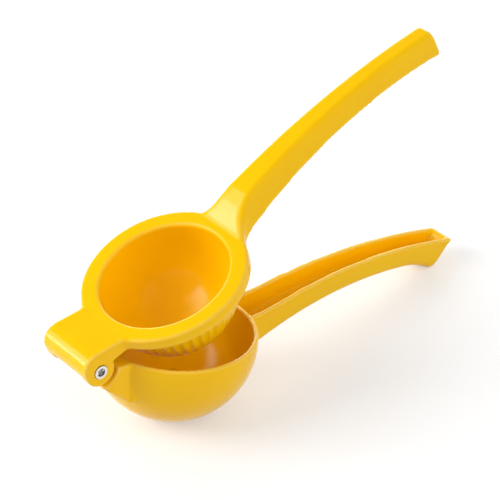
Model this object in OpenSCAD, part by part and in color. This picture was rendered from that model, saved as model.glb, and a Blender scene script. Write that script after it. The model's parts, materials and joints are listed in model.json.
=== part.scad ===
// Hinged hand squeezer for lemons: two cast lever arms on one pin.
// Both arms are drawn closed, with the rim of the bowl in the plane z = 0, its centre on
// the Z axis and the handles along +X. The arms are then opened and set down on a table.

/* [Bowl] */
// Radius of the ball that shapes the outside of the bowl
bowl_r = 37.9; // [32:0.1:46]
// How far the centre of that ball lies below the rim
bowl_drop = 4.3; // [1:0.1:8]
// Thickness of the bowl's wall
bowl_wall = 2.2; // [1.6:0.1:3]
// Radius of each drain hole
drain_r = 1.9; // [1:0.1:2.6]
// Distance from one ring of drain holes to the next
drain_pitch = 9.2; // [7:0.1:10]
// Depth of the flat spot that the bowl stands on
land_depth = 0.9; // [0.4:0.1:1.2]

/* [Press] */
// Room between the dome and the bowl for the peel
peel_gap = 4.1; // [2:0.1:8]
// Thickness of the dome's wall
dome_wall = 2.2; // [1.6:0.1:3]
// Thickness of the flat ring round the dome
ring_t = 6.4; // [4:0.1:9]
// Gap between the ring and the rim when the squeezer is shut
shut_gap = 0.5; // [0.4:0.1:2]
// Radius of the rounded lip at the dome's mouth
lip_r = 1.5; // [0.8:0.1:2.5]
// Radius of the ring's outer edges
ring_edge_r = 1.2; // [0.5:0.1:2]
// Number of flutes round the dome
flute_count = 45; // [24:1:60]
// Depth of a flute at the ring
flute_depth = 0.8; // [0.4:0.1:1.2]
// Angle below the ring at which the flutes have faded out
flute_end = 50; // [30:1:60]

/* [Hinge] */
// Distance from the rim to the hinge pin
hinge_reach = 12.3; // [10:0.1:18]
// Height of the hinge pin above the rim
pin_z = 0.7; // [0:0.1:2]
// Width over both ears
hinge_w = 30.8; // [26:0.1:38]
// Thickness of one ear
ear_t = 4.8; // [3.5:0.1:6]
// Radius of the rounded end of an ear
ear_r = 7; // [6.6:0.1:9]
// Height of the hinge plate's crest above the pin
plate_rise = 9.9; // [8.6:0.1:12]
// Thickness of the rolled cover between the ears
roll_t = 2; // [1.5:0.1:2.4]
// How far the cover's edge stays above the pin
roll_lip = 0.5; // [-3:0.1:2]
// Gap between an ear and the notch that it turns in
notch_gap = 2; // [1:0.1:3]
// Side play between the knuckle and each ear
side_gap = 0.3; // [0.2:0.05:0.6]
// Angle from shut at which the cover meets the stop on the knuckle
stop_angle = 101; // [80:1:105]
// Radius of the fillet between the hinge plate and the ring
plate_fillet_r = 5; // [2:0.1:8]
// Radius of the fillet between the hinge block and the bowl
block_fillet_r = 4; // [2:0.1:6]

/* [Pin] */
// Radius of the hinge pin
pin_r = 2.4; // [1.9:0.05:2.6]
// Running clearance round the pin in the knuckle
pin_clear = 0.06; // [0.02:0.01:0.1]
// Clearance round the pin in the ears and round its heads
seat_clear = 0.05; // [0.02:0.01:0.1]
// Radius of both pin heads
head_r = 3.05; // [2.9:0.05:4]
// Thickness of both pin heads
head_t = 1.6; // [1:0.1:2.2]
// How far the heads stand proud of the ears
head_proud = 0.2; // [0:0.05:0.5]
// Radius of the screw's shank inside the pin
screw_r = 1.5; // [1.2:0.05:1.8]
// Length of the screw's shank
screw_l = 9; // [6:0.5:14]
// Width of the cross recess in the screw head
recess_w = 1.2; // [0.5:0.05:1.4]
// Length of the cross recess in the screw head
recess_l = 3.8; // [2:0.1:4.5]

/* [Handles] */
// Reach of the press handle from the centre of the bowl
handle_reach = 164.2; // [135:0.2:200]
// Width of both handles at the bowl
handle_root_w = 20; // [16:0.5:24]
// Width of both handles at the tip
handle_tip_w = 14; // [11:0.5:18]
// Thickness of the handles' side walls
handle_wall = 2.2; // [1.6:0.1:3]
// Thickness of the web that joins the side walls
handle_web = 2.4; // [1.8:0.1:3.5]
// Radius of the handles' rounded edges
handle_edge_r = 3.4; // [1.5:0.1:4.5]
// Depth of the press handle at mid length
press_depth = 8.9; // [7:0.1:12]
// Depth of the cup handle at mid length
cup_depth = 11.3; // [8:0.1:14]
// Gap between the two handles when the squeezer is shut
grip_gap = 6.2; // [3:0.1:14]
// Height of the cup handle's crest above the rim
cup_crest_z = 7.8; // [3:0.1:14]
// Slope of the ramp from the ring up to the press handle
ramp_slope = 0.95; // [0.6:0.05:1.4]
// Radius of the fillet between the press handle and the ring, seen from above
root_fillet_r = 10; // [4:0.1:12]
// Radius of the edges round the handles' tips
tip_edge_r = 1.2; // [0.6:0.1:2]

/* [Pose] */
// Angle that the press arm is opened by
open_angle = 27; // [1:0.1:90]

/* [Hidden] */

$fn = 96;
corner_steps = 6;
stations = 40;
flute_steps = 6;
flute_rows = 7;
over = 1;

// Bowl
rim_r = sqrt(bowl_r * bowl_r - bowl_drop * bowl_drop);
bowl_in_r = bowl_r - bowl_wall;
land_d = bowl_r - land_depth;

// Press
dome_r = bowl_in_r - peel_gap;
dome_in_r = dome_r - dome_wall;
mouth_r = dome_in_r + lip_r;
ring_z0 = shut_gap;
ring_z1 = ring_z0 + ring_t;

// Hinge
pin_x = -(rim_r + hinge_reach);
plate_z1 = pin_z + plate_rise;
plate_z0 = ring_z0 + 0.7;
plate_end_x = -(mouth_r + over);
roll_z = plate_z1 - ear_r;
roll_in_r = ear_r - roll_t;
plate_fall = atan2(plate_z1 - ring_z1, plate_end_x - pin_x - 1);
cavity_w = hinge_w - 2 * ear_t;
cavity_x = -(rim_r + 1.4);
knuckle_w = cavity_w - 2 * side_gap;
knuckle_r = roll_in_r - 0.5;
swing_r = abs(pin_x - cavity_x) - 0.8;
stop_at = 180 - asin(roll_lip / roll_in_r) + stop_angle;
pocket_r = plate_rise + 0.5;
block_x = -(rim_r - 6);
block_foot = [-(rim_r - 4.3), -20.2];

// Pin
head_seat = head_t - head_proud;

// Handles: every outline is an arc over the length, given by its crest and its radius
cup_tip_x = handle_reach - 0.6;
press_crest_z = cup_crest_z + grip_gap + press_depth;
press_under_z = cup_crest_z + grip_gap + 0.2;
press_top_bow = 358;
press_under_bow = 250;
cup_top_bow = 278;
cup_under_bow = 215;
crest_x = 0.71 * handle_reach;
ramp_start_x = mouth_r + 0.6;
ramp_bend = 4;
cup_start_x = bowl_in_r - 5;
toe_x = handle_reach - 10.8;
toe_z = cup_crest_z - cup_depth - 7.2;
toe_left_slope = -0.5;
toe_right_slope = 1.35;
toe_blend = 5;

function bow(x, top, radius) = top - radius + sqrt(radius * radius - pow(x - crest_x, 2));
function soft_min(a, b, k) = min(a, b) - pow(max(k - abs(a - b), 0), 2) / (4 * k);
function soft_max(a, b, k) = -soft_min(-a, -b, k);

// How far a rounded tip edge has drawn in
function tip_drop(x, tip_x) =
    let (s = max(x - (tip_x - tip_edge_r), 0))
    tip_edge_r - sqrt(max(tip_edge_r * tip_edge_r - s * s, 0));

// Half the width of a handle: a slow taper that widens towards the bowl
function half_w(x) =
    handle_tip_w / 2
    + (handle_root_w - handle_tip_w) / 2 * pow(max(handle_reach - x, 0) / (handle_reach - rim_r), 2.2);

// Where the press handle's side leaves the ring, it follows a fillet
root_cy = half_w(rim_r) + root_fillet_r;
root_cx = sqrt(pow(rim_r + root_fillet_r, 2) - root_cy * root_cy);
root_ring_x = root_cx * rim_r / (rim_r + root_fillet_r);
function press_half_w(x) =
    let (s = root_cx - max(x, root_ring_x))
    max(half_w(x), s > 0 ? root_cy - sqrt(root_fillet_r * root_fillet_r - s * s) : 0);

// Press handle: a ramp that curves up off the ring, then a long arc
function ramp(x) =
    let (s = x - ramp_start_x)
    ring_z1 - 0.1 + ramp_slope * (s < ramp_bend ? s * s / (2 * ramp_bend) : s - ramp_bend / 2);
function press_top(x) =
    soft_min(bow(x, press_crest_z, press_top_bow), ramp(x), 5) - tip_drop(x, handle_reach);
function press_under(x) = soft_max(bow(x, press_under_z, press_under_bow), ring_z0 + 0.4, 3);
function press_roof(x) = press_top(x) - handle_web;

// Cup handle: top edge, underside with the toe, and the floor of its channel
function cup_top(x) = soft_max(bow(x, cup_crest_z, cup_top_bow), -1.6, 4);
function cup_belly(x) = bow(x, cup_crest_z - cup_depth, cup_under_bow);
function cup_under(x) = min(
    soft_max(
        soft_min(cup_belly(x), toe_z + toe_left_slope * (x - toe_x), 3),
        toe_z + toe_right_slope * (x - toe_x),
        toe_blend),
    cup_top(x) - 1.2);
function cup_floor(x) = soft_max(
    cup_belly(x) + handle_web,
    toe_z + toe_right_slope * (x - toe_x) + 4.2,
    3);

// The stations lie closer together towards the tip
function spread(x0, x1) = [for (i = [0:stations]) x0 + (x1 - x0) * (1 - pow(1 - i / stations, 1.6))];

// A handle's section: flat on one side, with two rounded corners on the other
function section(half, z_flat, z_round, radius) =
    let (
        up = z_round > z_flat ? 1 : -1,
        r = min(radius, abs(z_round - z_flat) * 0.8, half * 0.8),
        left = [for (i = [0:corner_steps]) let (a = 90 * i / corner_steps)
            [-half + r * (1 - cos(a)), z_round - up * r * (1 - sin(a))]],
        right = [for (p = left) [-p[0], p[1]]],
        ring = concat([[-half, z_flat]], left, [for (i = [corner_steps:-1:0]) right[i]], [[half, z_flat]])
    )
    up > 0 ? ring : [for (i = [len(ring) - 1:-1:0]) ring[i]];

// Support: the bowl's flat spot and the lowest point of the toe share one plane
toe_stations = spread(cup_start_x, cup_tip_x);
function rest_tilt(x, z) =
    atan2(z + bowl_drop, x) + asin(land_d / norm([x, z + bowl_drop]));
first_tilt = rest_tilt(toe_x, toe_z);
toe_depths = [for (x = toe_stations)
    x < toe_x - 20 ? 1000 : cup_under(x) * cos(first_tilt) - x * sin(first_tilt)];
toe_at = search(min(toe_depths), toe_depths)[0];
tilt = rest_tilt(toe_stations[toe_at], cup_under(toe_stations[toe_at]));
rest_x = bowl_drop * sin(tilt);
rest_z = bowl_drop * cos(tilt) + land_d;

cast = [0.99, 0.79, 0.03];
steel = [0.8, 0.8, 0.78];

module at_pin() translate([pin_x, 0, pin_z]) children();

// Turns a side profile, drawn with x along the handle and y up, into a solid across the hinge
module across(width) rotate([90, 0, 0]) linear_extrude(width, center = true) children();

module set_down() translate([rest_x, 0, rest_z]) rotate([0, tilt, 0]) children();

module opened() at_pin() rotate([0, -open_angle, 0]) translate([-pin_x, 0, -pin_z]) children();

// A solid through a row of sections
module loft(xs, sections) {
    count = len(sections[0]);
    last = len(xs) - 1;
    points = [for (i = [0:last]) for (p = sections[i]) [xs[i], p[0], p[1]]];
    sides = [for (i = [0:last - 1]) for (j = [0:count - 1]) for (half = [0:1])
        let (
            k = (j + 1) % count,
            a = i * count + j,
            b = i * count + k,
            c = a + count,
            d = b + count
        )
        half == 0 ? [a, b, d] : [a, d, c]];
    start = [for (j = [count - 1:-1:0]) j];
    end = [for (j = [0:count - 1]) last * count + j];
    polyhedron(points, concat(sides, [start, end]));
}

// ---- Cup arm ----

module bowl_ball(radius) intersection() {
    translate([0, 0, -bowl_drop]) sphere(radius);
    translate([0, 0, -bowl_r]) cube(2 * bowl_r, center = true);
}

module block_outline() polygon([
    [block_x, 0],
    [pin_x + knuckle_r, 0],
    [pin_x + 1, pin_z - ear_r - 1.4],
    block_foot,
    [block_x, block_foot[1]]
]);

module knuckle_outline() {
    difference() {
        union() {
            block_outline();
            polygon([
                [pin_x, pin_z + knuckle_r],
                [pin_x + swing_r * 0.7, pin_z + knuckle_r],
                [pin_x + swing_r, 0],
                [pin_x + swing_r, -6],
                [pin_x, -4]
            ]);
        }
        intersection() {
            translate([pin_x, pin_z]) circle(pocket_r);
            translate([pin_x, pin_z]) polygon([
                [0, 0],
                [-2 * pocket_r, 0],
                [-2 * pocket_r, -2 * pocket_r],
                [0, -2 * pocket_r],
                [2 * pocket_r * cos(stop_at), 2 * pocket_r * sin(stop_at)]
            ]);
        }
    }
    translate([pin_x, pin_z]) circle(knuckle_r);
}

module shoulder_outline() difference() {
    block_outline();
    translate([pin_x, pin_z]) circle(ear_r + notch_gap);
}

// Fills the corner between a straight side at y = half and the round of a ring or bowl
module corner_fillet(half, radius, fillet_r, height) {
    cx = sqrt(pow(radius + fillet_r, 2) - pow(half + fillet_r, 2));
    cy = half + fillet_r;
    near_x = cx * radius / (radius + fillet_r);
    near_y = cy * radius / (radius + fillet_r);
    inner_x = near_x - 4;
    linear_extrude(height) difference() {
        polygon([
            [cx, cy],
            [cx, half - over],
            [inner_x, half - over],
            [inner_x, near_y],
            [near_x, near_y]
        ]);
        translate([cx, cy]) circle(fillet_r);
    }
}

module hinge_block() {
    across(knuckle_w) knuckle_outline();
    for (side = [-1, 1])
        translate([0, side * (hinge_w - ear_t + side_gap) / 2, 0])
            across(ear_t + side_gap) shoulder_outline();
    intersection() {
        across(hinge_w + 4 * block_fillet_r) block_outline();
        for (side = [0, 1]) mirror([0, side, 0]) mirror([1, 0, 0])
            translate([0, 0, block_foot[1] - over])
                corner_fillet(hinge_w / 2, rim_r - 1, block_fillet_r, 2 * over - block_foot[1]);
    }
}

module cup_handle_body() loft(
    toe_stations,
    [for (x = toe_stations)
        section(half_w(x) - tip_drop(x, cup_tip_x), cup_top(x), cup_under(x), handle_edge_r)]);

module cup_channel() {
    xs = spread(cup_start_x, cup_tip_x - 1.5);
    loft(xs, [for (x = xs) section(
        half_w(x) - handle_wall,
        max(cup_top(x), cup_floor(x)) + 2,
        cup_floor(x),
        handle_edge_r - 1)]);
}

module drain_holes() {
    translate([0, 0, -bowl_r - bowl_drop]) cylinder(h = bowl_r, r = drain_r);
    for (ring = [1:2]) for (i = [0:6 * ring - 1])
        rotate(30 / ring + i * 60 / ring)
            translate([drain_pitch * ring, 0, -bowl_r - bowl_drop]) cylinder(h = bowl_r, r = drain_r);
}

module rest_plane() translate([0, 0, -bowl_drop]) rotate([0, -tilt, 0])
    translate([0, 0, -land_d - 10]) cylinder(h = 10, r = bowl_r);

module cup_arm() color(cast) set_down() difference() {
    union() {
        bowl_ball(bowl_r);
        hinge_block();
        cup_handle_body();
    }
    translate([0, 0, -bowl_drop]) sphere(bowl_in_r);
    difference() {
        cup_channel();
        translate([0, 0, -bowl_drop]) sphere(bowl_r);
    }
    drain_holes();
    rest_plane();
    at_pin() rotate([90, 0, 0]) cylinder(h = hinge_w, r = pin_r + pin_clear, center = true);
}

// ---- Press arm ----

module ring_outline() {
    flat = ring_t - 2 * ring_edge_r;
    translate([dome_in_r, ring_z0]) square([rim_r - ring_edge_r - dome_in_r, ring_t]);
    translate([dome_in_r, ring_z0 + ring_edge_r]) square([rim_r - dome_in_r, flat]);
    for (z = [ring_z0 + ring_edge_r, ring_z1 - ring_edge_r])
        translate([rim_r - ring_edge_r, z]) circle(ring_edge_r);
}

module lip_cut() difference() {
    translate([0, ring_z1 - lip_r]) square([mouth_r, lip_r + over]);
    translate([mouth_r, ring_z1 - lip_r]) circle(lip_r);
}

module ring() rotate_extrude() difference() {
    ring_outline();
    lip_cut();
}

// The fluted upper part of the dome: full flutes under the ring, fading out down the dome
module flutes() {
    downs = [for (i = [0:flute_rows]) flute_end * i / flute_rows];
    function fade(down) = (1 + cos(180 * max(down / flute_end * 1.7 - 0.7, 0))) / 2;
    function row(radius, depth) = [for (i = [0:flute_count * flute_steps - 1])
        let (turn = 360 * i / (flute_count * flute_steps),
            r = radius - depth * (1 - cos(turn * flute_count)) / 2)
        [r * sin(turn), r * cos(turn)]];
    rotate([0, 90, 0]) loft(
        concat([-ring_t / 2], [for (d = downs) dome_r * sin(d)], [dome_r * sin(flute_end + 3)]),
        concat(
            [row(dome_r, 0)],
            [for (d = downs) row(dome_r * cos(d), flute_depth * fade(d))],
            [row(dome_r * cos(flute_end + 3), 0)]));
}

module dome() translate([0, 0, ring_z0]) difference() {
    union() {
        flutes();
        intersection() {
            sphere(dome_r - 0.05);
            translate([0, 0, -dome_r]) cylinder(h = dome_r * (1 - sin(flute_end + 1)), r = dome_r);
        }
    }
    sphere(dome_in_r);
    cylinder(h = ring_t, r = dome_in_r);
}

module hinge_outline() {
    translate([pin_x, pin_z]) circle(ear_r);
    translate([pin_x, roll_z]) circle(ear_r);
    translate([pin_x - ear_r, pin_z]) square([2 * ear_r, roll_z - pin_z]);
    polygon([
        [pin_x, plate_z0],
        [pin_x, roll_z],
        [pin_x + ear_r * sin(plate_fall), roll_z + ear_r * cos(plate_fall) - 0.02],
        [plate_end_x, ring_z1 - 0.1],
        [plate_end_x, plate_z0]
    ]);
}

module hinge_cavity_outline() {
    translate([pin_x, pin_z]) circle(roll_in_r);
    translate([pin_x, roll_z]) circle(roll_in_r);
    translate([pin_x - roll_in_r, pin_z]) square([2 * roll_in_r, roll_z - pin_z]);
    fall_x = pin_x + roll_in_r * sin(plate_fall);
    fall_z = roll_z + roll_in_r * cos(plate_fall);
    polygon([
        [pin_x, -ear_r * 2],
        [pin_x, roll_z],
        [fall_x, fall_z],
        [cavity_x, fall_z - (cavity_x - fall_x) * tan(plate_fall)],
        [cavity_x, -ear_r * 2]
    ]);
    translate([pin_x - ear_r * 2, -ear_r * 2]) square([ear_r * 3, ear_r * 2 + pin_z + roll_lip]);
}

module press_handle_body() {
    xs = concat(
        [for (i = [0:11]) ramp_start_x + (root_cx - ramp_start_x) * i / 12],
        spread(root_cx, handle_reach));
    loft(xs, [for (x = xs)
        section(press_half_w(x) - tip_drop(x, handle_reach), press_under(x), press_top(x), handle_edge_r)]);
}

module press_channel() {
    xs = spread(rim_r + 2.5, handle_reach - handle_web);
    loft(xs, [for (x = xs)
        section(half_w(x) - handle_wall, press_under(x) - 2, press_roof(x), handle_edge_r - 1)]);
}

module head_seats() {
    for (side = [-1, 1])
        translate([0, side * (hinge_w / 2 - head_seat), 0]) rotate([-90 * side, 0, 0])
            cylinder(h = head_t + over, r = head_r + seat_clear);
    rotate([90, 0, 0]) cylinder(h = hinge_w, r = pin_r + seat_clear, center = true);
}

module press_arm() color(cast) set_down() opened() difference() {
    union() {
        ring();
        dome();
        across(hinge_w) hinge_outline();
        for (side = [0, 1]) mirror([0, side, 0]) mirror([1, 0, 0])
            translate([0, 0, plate_z0])
                corner_fillet(hinge_w / 2, rim_r, plate_fillet_r, ring_z1 - 0.3 - plate_z0);
        press_handle_body();
    }
    press_channel();
    across(cavity_w) hinge_cavity_outline();
    at_pin() head_seats();
}

// ---- Hinge pin: a hollow barrel from the far side and a screw from the near side ----

module hinge_barrel() color(steel) set_down() opened() at_pin() rotate([-90, 0, 0]) difference() {
    union() {
        translate([0, 0, hinge_w / 2 - head_seat]) cylinder(h = head_t, r = head_r);
        translate([0, 0, -hinge_w / 2 + head_seat + seat_clear])
            cylinder(h = hinge_w - 2 * head_seat - seat_clear + 0.1, r = pin_r);
    }
    translate([0, 0, -hinge_w / 2]) cylinder(h = screw_l + head_seat + 1, r = screw_r + seat_clear);
}

module hinge_screw() color(steel) set_down() opened() at_pin() rotate([90, 0, 0]) difference() {
    union() {
        translate([0, 0, hinge_w / 2 - head_seat]) cylinder(h = head_t, r = head_r);
        translate([0, 0, hinge_w / 2 - head_seat - screw_l]) cylinder(h = screw_l + 0.1, r = screw_r);
    }
    translate([0, 0, hinge_w / 2 + head_proud]) {
        for (turn = [40, 130]) rotate(turn) cube([recess_l, recess_w, 1.8], center = true);
        translate([0, 0, -1]) cylinder(h = 1.2, r1 = recess_w / 2, r2 = recess_l * 0.36);
    }
}

cup_arm();
press_arm();
hinge_barrel();
hinge_screw();
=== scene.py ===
# %% [markdown]
# # A hinged lemon squeezer
# The squeezer is two enamelled castings on one steel pin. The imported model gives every
# piece at its real size, in metres, already in place. This lesson softens the castings,
# finishes the pin, gives each piece its surface, and then lights and frames the whole.

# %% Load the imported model
import bmesh
import bpy
import json
import math
from mathutils import Matrix, Vector


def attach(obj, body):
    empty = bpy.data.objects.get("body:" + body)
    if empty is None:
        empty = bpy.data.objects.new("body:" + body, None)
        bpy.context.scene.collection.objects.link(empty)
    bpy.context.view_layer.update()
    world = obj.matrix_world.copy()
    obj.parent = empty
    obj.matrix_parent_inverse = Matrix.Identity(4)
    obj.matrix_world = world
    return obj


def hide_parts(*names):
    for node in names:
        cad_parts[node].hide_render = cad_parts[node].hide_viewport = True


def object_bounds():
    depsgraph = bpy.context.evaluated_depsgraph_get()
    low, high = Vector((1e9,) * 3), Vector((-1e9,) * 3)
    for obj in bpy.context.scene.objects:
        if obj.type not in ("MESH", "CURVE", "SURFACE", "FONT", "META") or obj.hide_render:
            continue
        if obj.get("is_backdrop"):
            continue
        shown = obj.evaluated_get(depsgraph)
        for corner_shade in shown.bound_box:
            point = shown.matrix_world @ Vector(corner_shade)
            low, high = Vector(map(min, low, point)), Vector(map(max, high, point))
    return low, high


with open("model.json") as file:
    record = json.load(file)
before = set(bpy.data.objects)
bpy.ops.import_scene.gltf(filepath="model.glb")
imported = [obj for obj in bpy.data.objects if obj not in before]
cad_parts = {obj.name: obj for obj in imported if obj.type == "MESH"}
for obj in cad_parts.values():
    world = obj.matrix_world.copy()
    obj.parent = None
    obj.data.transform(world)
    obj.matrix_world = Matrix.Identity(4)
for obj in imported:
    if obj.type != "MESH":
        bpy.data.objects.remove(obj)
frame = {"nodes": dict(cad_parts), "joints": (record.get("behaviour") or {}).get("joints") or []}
cad_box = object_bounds()
PIN = Vector(frame["joints"][0]["pos_m"])


def in_mm(lengths):
    return [round(1000 * length, 1) for length in lengths]


print("pieces:", sorted(frame["nodes"]))
print("overall, mm:", in_mm(high - low for low, high in zip(*cad_box)))
print("pin at, mm:", in_mm(PIN))

# %% [markdown]
# ## The camera
# A long lens keeps the two round rims almost true ellipses. The camera looks down on the
# bowl from beyond the hinge, a little rolled, so that the handles climb to the right.

# %% Place the camera
VIEW_AZIMUTH = -36.25
VIEW_ELEVATION = 35.80
VIEW_ROLL = -4.87
VIEW_DISTANCE = 0.9271
AIM = Vector((0.04086, -0.00696, 0.06616))
LENS_MM = 152.36
SENSOR_MM = 36
NEAREST, FARTHEST = 0.05, 20


def add_object(name, data):
    """A new object in the scene that shows the given data."""
    thing = bpy.data.objects.new(name, data)
    bpy.context.scene.collection.objects.link(thing)
    return thing


def view_axes(azimuth, elevation, roll):
    """The camera's right, up and backward directions."""
    a, e, r = (math.radians(angle) for angle in (azimuth, elevation, roll))
    back = Vector((math.sin(a) * math.cos(e), -math.cos(a) * math.cos(e), math.sin(e)))
    level = Vector((math.cos(a), math.sin(a), 0))
    upright = back.cross(level)
    right = level * math.cos(r) + upright * math.sin(r)
    return right, back.cross(right), back


def make_camera():
    """The camera at its distance from the aim, turned towards it."""
    right, up, back = view_axes(VIEW_AZIMUTH, VIEW_ELEVATION, VIEW_ROLL)
    data = bpy.data.cameras.new("camera")
    data.lens = LENS_MM
    data.sensor_width = SENSOR_MM
    data.clip_start = NEAREST
    data.clip_end = FARTHEST
    camera = add_object("camera", data)
    turn = Matrix((right, up, back)).transposed().to_4x4()
    camera.matrix_world = Matrix.Translation(AIM + back * VIEW_DISTANCE) @ turn
    bpy.context.scene.camera = camera
    return camera


print("camera at, mm:", in_mm(make_camera().location))

# %% [markdown]
# ## Soft cast edges
# A casting has no knife edges: the mould is rounded, the part is tumbled, and the enamel
# flows over what is left. A bevel would need every edge picked by hand, so each casting is
# instead rebuilt from small even cells by a voxel remesh, and relaxed later on. The remesh
# needs a closed skin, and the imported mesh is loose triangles, so the copy is merged first.

# %% Rebuild both castings from even cells
MERGE_DISTANCE = 1e-6
CELL = 0.00066


def object_from(skin, name):
    """The finished bmesh as an object in the scene."""
    mesh = bpy.data.meshes.new(name)
    skin.to_mesh(mesh)
    skin.free()
    return add_object(name, mesh)


def merged_copy(node, name):
    """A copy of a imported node, joined up into one closed skin."""
    skin = bmesh.new()
    skin.from_mesh(frame["nodes"][node].data)
    bmesh.ops.remove_doubles(skin, verts=skin.verts, dist=MERGE_DISTANCE)
    return object_from(skin, name)


def settle_modifiers(piece):
    """Makes the modified shape the piece's own mesh."""
    shown = piece.evaluated_get(bpy.context.evaluated_depsgraph_get())
    mesh = bpy.data.meshes.new_from_object(shown)
    piece.modifiers.clear()
    piece.data = mesh


def rebuilt_copy(node, name):
    """A copy of a packed casting, made anew from even cells."""
    piece = merged_copy(node, name)
    remesh = piece.modifiers.new("cells", "REMESH")
    remesh.mode = "VOXEL"
    remesh.voxel_size = CELL
    remesh.use_smooth_shade = True
    settle_modifiers(piece)
    print(name, "faces:", len(piece.data.polygons))
    return piece


cup_casting = rebuilt_copy("cup_arm", "cup_casting")
press_casting = rebuilt_copy("press_arm", "press_casting")

# %% [markdown]
# ## The upper handle's draft
# A casting leaves its mould only if its sides lean in. On the upper handle the lean shows:
# the sides close in on a narrow crown, so the handle looks like a bar with a rounded back.
# The copy is drawn in slice by slice along the arm, by nothing at the floor of the handle
# and by the full taper at its crown, and the crown rises a little with it. A frame at the
# pin, with X along the arm, makes that a matter of a few sums.

# %% Draw in the upper handle
ARM_SLOPE = math.radians(14.97)
SLICE = 0.003
TAPER_START = 0.083
TAPER_FULL = 0.101
TAPER = 0.28
CROWN_LIFT = 0.0020


def smooth_step(share):
    """Eases a share of 0 to 1, so that it starts and ends level."""
    return share * share * (3 - 2 * share)


def level_at(levels, x):
    """The level at X, drawn evenly from one slice's to the next slice's."""
    step = min(math.floor(x / SLICE), max(levels) - 1)
    part = x / SLICE - step
    return levels[step] * (1 - part) + levels[step + 1] * part


def taper_handle(mesh, to_arm):
    """Draws the handle's sides in towards its crown, by more the nearer they are to it."""
    from_arm = to_arm.inverted()
    places = [to_arm @ vertex.co for vertex in mesh.vertices]
    lowest, highest = {}, {}
    for place in places:
        step = round(place.x / SLICE)
        lowest[step] = min(lowest.get(step, place.z), place.z)
        highest[step] = max(highest.get(step, place.z), place.z)
    for vertex, place in zip(mesh.vertices, places):
        share = (place.x - TAPER_START) / (TAPER_FULL - TAPER_START)
        if share <= 0:
            continue
        share = smooth_step(min(share, 1))
        low, high = level_at(lowest, place.x), level_at(highest, place.x)
        height = (place.z - low) / (high - low)
        place.y *= 1 - TAPER * share * height
        place.z += CROWN_LIFT * share * height
        vertex.co = from_arm @ place


arm_frame = Matrix.Rotation(ARM_SLOPE, 4, "Y") @ Matrix.Translation(-PIN)
taper_handle(press_casting.data, arm_frame)
print("crown of the handle, mm:", in_mm([max(v.co.z for v in press_casting.data.vertices)]))

# %% [markdown]
# ## Relaxed cells
# Relaxing the cells rounds the outside edges and fills the inside corners by the same small
# radius. Done alone it would shrink thin walls, so after the first pass, each one that
# pulls the cells in is followed by one that pushes them out again.

# %% Relax both castings
PLAIN_PASSES = 1
PAIRED_PASSES = 8
SHRINK = 0.5
REGROW = -0.53
PASSES = [SHRINK] * PLAIN_PASSES + [SHRINK, REGROW] * PAIRED_PASSES


def relax(mesh):
    """Evens out the cells, and after each shrinking pass grows the broad forms back."""
    skin = bmesh.new()
    skin.from_mesh(mesh)
    for factor in PASSES:
        bmesh.ops.smooth_vert(skin, verts=skin.verts, factor=factor,
                              use_axis_x=True, use_axis_y=True, use_axis_z=True)
    skin.to_mesh(mesh)
    skin.free()
    mesh.shade_smooth()


for casting in (cup_casting, press_casting):
    relax(casting.data)
print("passes:", len(PASSES))

# %% [markdown]
# ## The bore
# The even cells are too coarse for the fine clearance between the block's bore and the
# barrel that turns in it, and close it. So the softened block is reamed: a cylinder round
# the pin's axis, which lies along Y, cuts the bore back to its running size. It runs
# through the block and ends in the open on both sides.

# %% Ream the block's bore
BORE_RADIUS = 0.00246
REAM_LENGTH = 0.04
CUTTER_SIDES = 64


def cut_round_pin(piece, radius, length, middle):
    """Cuts a cylinder round the pin's axis out of a piece, with its middle at the given Y."""
    skin = bmesh.new()
    bmesh.ops.create_cone(skin, cap_ends=True, segments=CUTTER_SIDES, radius1=radius,
                          radius2=radius, depth=length)
    bmesh.ops.rotate(skin, verts=skin.verts, matrix=Matrix.Rotation(math.radians(90), 3, "X"))
    bmesh.ops.translate(skin, verts=skin.verts, vec=(PIN.x, middle, PIN.z))
    cutter = object_from(skin, "cutter")
    piece.modifiers.new("cut", "BOOLEAN").object = cutter
    settle_modifiers(piece)
    bpy.data.objects.remove(cutter)


cut_round_pin(cup_casting, BORE_RADIUS, REAM_LENGTH, 0)
print("bore across, mm:", in_mm([2 * BORE_RADIUS]))

# %% [markdown]
# Each finished piece now takes the place of its imported node. It rides on that node's body,
# so that it turns with the hinge.

# %% Put the castings in place
def stand_in(piece, node, body):
    """The piece moves with a body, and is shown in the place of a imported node."""
    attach(piece, body)
    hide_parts(node)
    print(piece.name, "for", node, "on", body, "with faces:", len(piece.data.polygons))


stand_in(cup_casting, "cup_arm", "lower_arm")
stand_in(press_casting, "press_arm", "upper_arm")

# %% [markdown]
# ## The pin's two heads
# The screw's head is turned with a round dish, and the cross is pressed into the floor of
# that dish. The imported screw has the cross, so a copy of it only needs the dish, which the
# same kind of cylinder cuts out. It is half sunk in the head's face, so that the cut breaks
# out cleanly. A narrow bevel then breaks the sharp turned edges of both heads, and those
# edges catch the light.

# %% Dish the screw and break the edges
DISH_RADIUS = 0.00195
DISH_DEPTH = 0.0006
EDGE_BREAK = 0.00012
EDGE_STEPS = 2
SHARP_ANGLE = math.radians(40)


def break_edges(piece):
    """Takes the sharp edges off a turned piece."""
    bevel = piece.modifiers.new("edges", "BEVEL")
    bevel.width = EDGE_BREAK
    bevel.segments = EDGE_STEPS
    bevel.angle_limit = SHARP_ANGLE
    settle_modifiers(piece)


screw = merged_copy("hinge_screw", "pin_screw")
screw_face = min(vertex.co.y for vertex in screw.data.vertices)
cut_round_pin(screw, DISH_RADIUS, 2 * DISH_DEPTH, screw_face)
barrel = merged_copy("hinge_barrel", "pin_barrel")
for piece, node in ((screw, "hinge_screw"), (barrel, "hinge_barrel")):
    break_edges(piece)
    stand_in(piece, node, "upper_arm")

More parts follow.
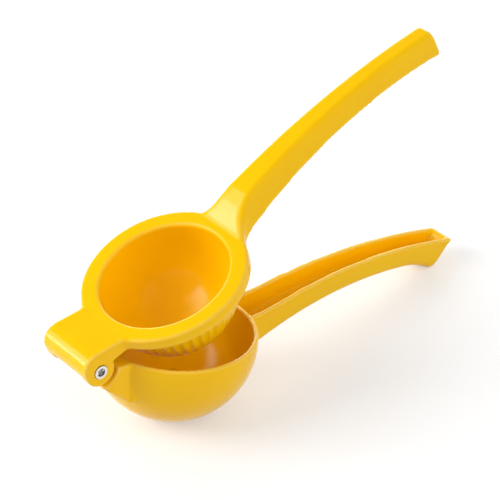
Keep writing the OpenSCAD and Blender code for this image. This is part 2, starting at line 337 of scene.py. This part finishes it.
# %% [markdown]
# ## Tools for surfaces
# A surface is built by joining nodes. These helpers each make one kind of node, join it up
# and hand on its output, so that a finish below reads like a recipe. Noise keeps near its
# middle value and seldom comes close to 0 or 1, so it is stretched from a narrower span.

# %% Lay out the tools for surfaces
NOISE_SPAN = (0.3, 0.7)
# The mix node has sockets for numbers, vectors and colours. These are the colour ones.
MIX_LOW, MIX_HIGH, MIX_OUT = 6, 7, 2


def new_material(name):
    """An empty material with its own shader."""
    material = bpy.data.materials.new(name)
    material.use_nodes = True
    tree = material.node_tree
    tree.nodes.clear()
    output = tree.nodes.new("ShaderNodeOutputMaterial")
    shader = tree.nodes.new("ShaderNodeBsdfPrincipled")
    tree.links.new(shader.outputs["BSDF"], output.inputs["Surface"])
    return material, tree, shader


def object_place(tree):
    """The point's place on the piece, which a pattern stays fixed to."""
    return tree.nodes.new("ShaderNodeTexCoord").outputs["Object"]


def noise(tree, place, scale, detail):
    """A cloudy pattern."""
    node = tree.nodes.new("ShaderNodeTexNoise")
    node.inputs["Scale"].default_value = scale
    node.inputs["Detail"].default_value = detail
    tree.links.new(place, node.inputs["Vector"])
    return node.outputs["Fac"]


def between(tree, value, start, end, low, high, shape="LINEAR"):
    """Maps a value that goes from start to end onto low to high."""
    node = tree.nodes.new("ShaderNodeMapRange")
    node.interpolation_type = shape
    for name, number in (("From Min", start), ("From Max", end), ("To Min", low),
                         ("To Max", high)):
        node.inputs[name].default_value = number
    tree.links.new(value, node.inputs["Value"])
    return node.outputs["Result"]


def spread(tree, pattern, low, high):
    """Maps a noise pattern onto low to high."""
    return between(tree, pattern, *NOISE_SPAN, low, high)


def combine(tree, operation, *values):
    """One number made from others, such as their sum or their product."""
    node = tree.nodes.new("ShaderNodeMath")
    node.operation = operation
    for value, socket in zip(values, node.inputs):
        tree.links.new(value, socket)
    return node.outputs["Value"]


def component(tree, vector, axis):
    """One of a vector's three numbers."""
    node = tree.nodes.new("ShaderNodeSeparateXYZ")
    tree.links.new(vector, node.inputs["Vector"])
    return node.outputs[axis]


def tinted(tree, share, low, high):
    """A colour that goes from low, a colour or another node's output, to high."""
    node = tree.nodes.new("ShaderNodeMix")
    node.data_type = "RGBA"
    if isinstance(low, tuple):
        node.inputs[MIX_LOW].default_value = low
    else:
        tree.links.new(low, node.inputs[MIX_LOW])
    node.inputs[MIX_HIGH].default_value = high
    tree.links.new(share, node.inputs["Factor"])
    return node.outputs[MIX_OUT]


def ripple(tree, height, strength, distance):
    """A surface that rises and falls with a pattern, by up to a distance in metres."""
    node = tree.nodes.new("ShaderNodeBump")
    node.inputs["Strength"].default_value = strength
    node.inputs["Distance"].default_value = distance
    tree.links.new(height, node.inputs["Height"])
    return node.outputs["Normal"]


def coat(material, *pieces):
    """Gives the pieces one material and no other."""
    for piece in pieces:
        piece.data.materials.clear()
        piece.data.materials.append(material)
    print(material.name, "on:", [piece.name for piece in pieces])


print("noise is stretched from:", NOISE_SPAN)

# %% [markdown]
# ## Enamel
# The coat is a smooth lemon yellow with a soft gloss. Close up it is never quite even: it
# has a faint orange-peel ripple and the gloss varies a little from place to place, which
# comes from noise on Object coordinates and so is fixed to the metal. Sharp outward edges
# get a pale painted highlight, broken up by fine noise, and a rougher gloss where wear
# rubs them first. Inside corners get a deeper orange, which is painted shade. Pointiness,
# which tells a bend outwards from a bend inwards, puts both in their places.

# %% Mix the enamel
ENAMEL_YELLOW = (0.96, 0.56, 0.001, 1)
ENAMEL_DEEP = (0.95, 0.53, 0.001, 1)
# The pale cream on sharp outward edges is a painted highlight.
ENAMEL_EDGE_HIGHLIGHT = (0.98, 0.74, 0.25, 1)
# The deeper orange in inside corners is painted shade.
ENAMEL_CORNER_SHADE = (0.86, 0.42, 0.001, 1)
EDGE_BEND = (0.515, 0.58)
CORNER_BEND = (0.44, 0.49)
HIGHLIGHT_AND_WEAR_SHARE = (0.55, 0.9)
CORNER_SHADE_SHARE = 0.6
ENAMEL_ROUGHNESS = (0.12, 0.18)
RUBBED_ROUGHNESS = 0.12
ENAMEL_SPECULAR = 0.17
# The noise patterns' scale and detail, and the ripple's strength and distance.
CLOUDS = (28, 3)
HIGHLIGHT_AND_WEAR_NOISE = (260, 4)
ORANGE_PEEL = (900, 2)
PEEL_RIPPLE = (0.12, 0.00004)


def make_enamel():
    """Glossy yellow, with a painted highlight on the edges and painted shade in the corners."""
    material, tree, shader = new_material("yellow_enamel")
    place = object_place(tree)
    bend = tree.nodes.new("ShaderNodeNewGeometry").outputs["Pointiness"]
    clouds = noise(tree, place, *CLOUDS)
    highlight_and_wear = spread(tree, noise(tree, place, *HIGHLIGHT_AND_WEAR_NOISE), *HIGHLIGHT_AND_WEAR_SHARE)
    # The pale colour on outward bends is a painted highlight; the rougher gloss there stands for
    # wear.
    edge = combine(tree, "MULTIPLY", between(tree, bend, *EDGE_BEND, 0, 1), highlight_and_wear)
    # The deeper orange on inward bends is painted shade.
    corner_shade = between(tree, bend, *CORNER_BEND, CORNER_SHADE_SHARE, 0)
    tone = tinted(tree, spread(tree, clouds, 0, 1), ENAMEL_DEEP, ENAMEL_YELLOW)
    tone = tinted(tree, corner_shade, tone, ENAMEL_CORNER_SHADE)
    tone = tinted(tree, edge, tone, ENAMEL_EDGE_HIGHLIGHT)
    gloss = combine(tree, "ADD", spread(tree, clouds, *ENAMEL_ROUGHNESS),
                    between(tree, edge, 0, 1, 0, RUBBED_ROUGHNESS))
    peel = ripple(tree, noise(tree, place, *ORANGE_PEEL), *PEEL_RIPPLE)
    tree.links.new(tone, shader.inputs["Base Color"])
    tree.links.new(gloss, shader.inputs["Roughness"])
    tree.links.new(peel, shader.inputs["Normal"])
    shader.inputs["Specular IOR Level"].default_value = ENAMEL_SPECULAR
    return material


coat(make_enamel(), cup_casting, press_casting)

# %% [markdown]
# ## Steel
# The pin's two heads are turned from bright steel. Turning leaves fine rings round the
# axis, which lies along Y, so the rings are a wave pattern on the distance from that axis.
# The steel is darker the deeper it lies below the head's face, which is painted shade: dark on
# the wall of the dish and down in the cross, and less so on the dish's floor.

# %% Finish the pin
STEEL = (0.74, 0.74, 0.72, 1)
# The steel darkens with depth below the head's face: painted shade on the dish's wall and down
# in the cross, less on the dish's floor.
DISH_FLOOR_SHADE = (0.66, 0.65, 0.63, 1)
CROSS_SHADE = (0.36, 0.35, 0.33, 1)
DISH_WALL_SHADE = (0.16, 0.15, 0.13, 1)
SHADED_DEPTH = 0.001
RECESS_SHADE_STOPS = ((0.08, STEEL), (0.4, DISH_WALL_SHADE), (0.58, DISH_FLOOR_SHADE), (0.85, CROSS_SHADE))
STEEL_ROUGHNESS = (0.16, 0.30)
DEPTH_ROUGHNESS = 0.3
GRAIN = (700, 4)
TURNED_RINGS = 1600
RING_WOBBLE = 0.6
RING_RIPPLE = (0.25, 0.000006)


def recess_shade(tree, depth):
    """The steel's painted shade at a depth, as a share of the shaded depth."""
    node = tree.nodes.new("ShaderNodeValToRGB")
    stops = node.color_ramp.elements
    while len(stops) < len(RECESS_SHADE_STOPS):
        stops.new(1)
    for stop, (position, colour) in zip(stops, RECESS_SHADE_STOPS):
        stop.position = position
        stop.color = colour
    tree.links.new(depth, node.inputs["Fac"])
    return node.outputs["Color"]


def turned_rings(tree, place):
    """Fine rings round the pin's axis."""
    centred = tree.nodes.new("ShaderNodeVectorMath")
    centred.operation = "SUBTRACT"
    centred.inputs[1].default_value = PIN
    tree.links.new(place, centred.inputs[0])
    rings = tree.nodes.new("ShaderNodeTexWave")
    rings.wave_type = "RINGS"
    rings.rings_direction = "Y"
    rings.inputs["Scale"].default_value = TURNED_RINGS
    rings.inputs["Distortion"].default_value = RING_WOBBLE
    tree.links.new(centred.outputs["Vector"], rings.inputs["Vector"])
    return rings.outputs["Fac"]


def make_steel():
    """Bright turned steel, with painted shade below the heads' faces."""
    material, tree, shader = new_material("bright_steel")
    place = object_place(tree)
    face = max(abs(vertex.co.y) for vertex in screw.data.vertices)
    outwards = combine(tree, "ABSOLUTE", component(tree, place, "Y"))
    # Depth below the head's face drives the painted shade of the dish and the cross.
    depth = between(tree, outwards, face, face - SHADED_DEPTH, 0, 1)
    gloss = combine(tree, "ADD", spread(tree, noise(tree, place, *GRAIN), *STEEL_ROUGHNESS),
                    between(tree, depth, 0, 1, 0, DEPTH_ROUGHNESS))
    rings = ripple(tree, turned_rings(tree, place), *RING_RIPPLE)
    tree.links.new(recess_shade(tree, depth), shader.inputs["Base Color"])
    tree.links.new(gloss, shader.inputs["Roughness"])
    tree.links.new(rings, shader.inputs["Normal"])
    shader.inputs["Metallic"].default_value = 1
    return material


coat(make_steel(), screw, barrel)

# %% [markdown]
# ## The studio
# The squeezer lies on a white sweep under large soft lamps. The floor is a pale grey that
# the lamps bring close to white, and it glows a little where the camera sees it, itself or
# in a shiny surface. So it shows plain white, and it still takes the squeezer's shadow. Far
# from the lamps it needs more of that glow, or a low view would end in a grey band.

# %% Lay the floor
FLOOR_SIZE = 6
FLOOR_DROP = 0.0001
FLOOR_GREY = (0.68, 0.68, 0.68, 1)
WHITE = (1, 1, 1, 1)
FLOOR_GLOW = 0.34
FAR_GLOW = 0.7
GLOW_BEND = (0.3, 1.4)
MOTTLE = (6, 2)
FLOOR_ROUGHNESS = (0.85, 0.95)


def seen_directly(tree):
    """1 where the camera sees the surface, itself or in a shiny thing, and 0 for its light."""
    path = tree.nodes.new("ShaderNodeLightPath").outputs
    seen = path["Is Camera Ray"]
    for kind in ("Is Glossy Ray", "Is Transmission Ray"):
        seen = combine(tree, "MAXIMUM", seen, path[kind])
    return seen


def paint_floor(floor):
    """A pale grey that glows where it is seen, and by more far out."""
    material, tree, shader = new_material("floor_white")
    place = object_place(tree)
    away = tree.nodes.new("ShaderNodeVectorMath")
    away.operation = "LENGTH"
    tree.links.new(place, away.inputs[0])
    glow = between(tree, away.outputs["Value"], *GLOW_BEND, FLOOR_GLOW, FAR_GLOW)
    shown = combine(tree, "MULTIPLY", seen_directly(tree), glow)
    matt = spread(tree, noise(tree, place, *MOTTLE), *FLOOR_ROUGHNESS)
    tree.links.new(shown, shader.inputs["Emission Strength"])
    tree.links.new(matt, shader.inputs["Roughness"])
    shader.inputs["Base Color"].default_value = FLOOR_GREY
    shader.inputs["Emission Color"].default_value = WHITE
    coat(material, floor)


def lay_floor():
    """A wide flat sheet just below the squeezer."""
    skin = bmesh.new()
    bmesh.ops.create_grid(skin, x_segments=2, y_segments=2, size=FLOOR_SIZE / 2)
    bmesh.ops.translate(skin, verts=skin.verts, vec=(0, 0, -FLOOR_DROP))
    floor = object_from(skin, "floor")
    paint_floor(floor)
    floor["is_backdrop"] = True


lay_floor()
print("floor side, m:", FLOOR_SIZE)

# %% [markdown]
# Four soft boxes light the squeezer. A large one at the side models the dome and the bowl,
# and its light falls off towards its top edge, as cloth does far from the bulb, so that the
# highlights end softly. A small low one lights the ramp between ring and handle, a wide one
# behind draws the bright lines on the lips, and the fill lifts the near sides without a
# highlight of its own.

# %% Hang the lamps
LAMPS = {
    "side_box": {"place": (-0.71, 0.44, 0.98), "size": (0.9, 0.9), "watts": 18.5, "top": 0.0},
    "low_box": {"place": (-0.81, 0.79, 0.34), "size": (0.26, 0.4), "watts": 4.2, "top": 0.8},
    "back_box": {"place": (0.75, 1.25, 0.48), "size": (1.5, 0.62), "watts": 10, "top": 1.0},
    "fill_box": {"place": (0.50, -1.30, 0.85), "size": (1.2, 1.2), "watts": 10.5, "top": 1.0},
}
UNREFLECTED = "fill_box"


def hang_lamp(name, place, size, watts, top):
    """A soft box aimed at the squeezer, whose light falls off to a share at its top edge."""
    data = bpy.data.lights.new(name, "AREA")
    data.shape = "RECTANGLE"
    data.size, data.size_y = size
    data.energy = watts
    data.use_nodes = True
    tree = data.node_tree
    across = tree.nodes.new("ShaderNodeNewGeometry").outputs["Parametric"]
    fall = between(tree, component(tree, across, "Y"), 0, 1, 1, top, "SMOOTHSTEP")
    tree.links.new(fall, tree.nodes["Emission"].inputs["Strength"])
    lamp = add_object(name, data)
    lamp.location = place
    lamp.visible_camera = False
    lamp.visible_glossy = name != UNREFLECTED
    lamp.rotation_mode = "QUATERNION"
    lamp.rotation_quaternion = (AIM - Vector(place)).to_track_quat("-Z", "Y")


for name, facts in LAMPS.items():
    hang_lamp(name, **facts)
print("lamps:", list(LAMPS))

# %% [markdown]
# The room adds an even light from all round. What shiny surfaces see of it is another
# matter: a white sweep low down and a dim ceiling, so that surfaces that face up keep their
# full colour instead of a milky one.

# %% Light the room
ROOM_LIGHT = 0.46
CEILING_LIGHT = 0.15
SWEEP_END = (0.1, 0.5)


def light_room():
    """An even room: the white sweep shows low down, and the ceiling above it is dim."""
    world = bpy.data.worlds.new("room")
    bpy.context.scene.world = world
    world.use_nodes = True
    tree = world.node_tree
    tree.nodes.clear()
    output = tree.nodes.new("ShaderNodeOutputWorld")
    glow = tree.nodes.new("ShaderNodeBackground")
    glow.inputs["Color"].default_value = WHITE
    way = tree.nodes.new("ShaderNodeTexCoord").outputs["Generated"]
    sweep = between(tree, component(tree, way, "Z"), *SWEEP_END, 1, CEILING_LIGHT, "SMOOTHSTEP")
    level = tree.nodes.new("ShaderNodeMix")
    level.inputs["A"].default_value = ROOM_LIGHT
    tree.links.new(seen_directly(tree), level.inputs["Factor"])
    tree.links.new(sweep, level.inputs["B"])
    tree.links.new(level.outputs["Result"], glow.inputs["Strength"])
    tree.links.new(glow.outputs["Background"], output.inputs["Surface"])


light_room()
bpy.context.scene.view_settings.view_transform = "Standard"
print("room light:", ROOM_LIGHT)

# %% [markdown]
# ## The sizes
# The finished squeezer should fill the imported model's box. Only the crown of the upper
# handle stands out of it by more than a hair, because its taper also lifts it.

# %% Print the finished size
shown_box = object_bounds()
print("shown, mm:", in_mm(high - low for low, high in zip(*shown_box)))
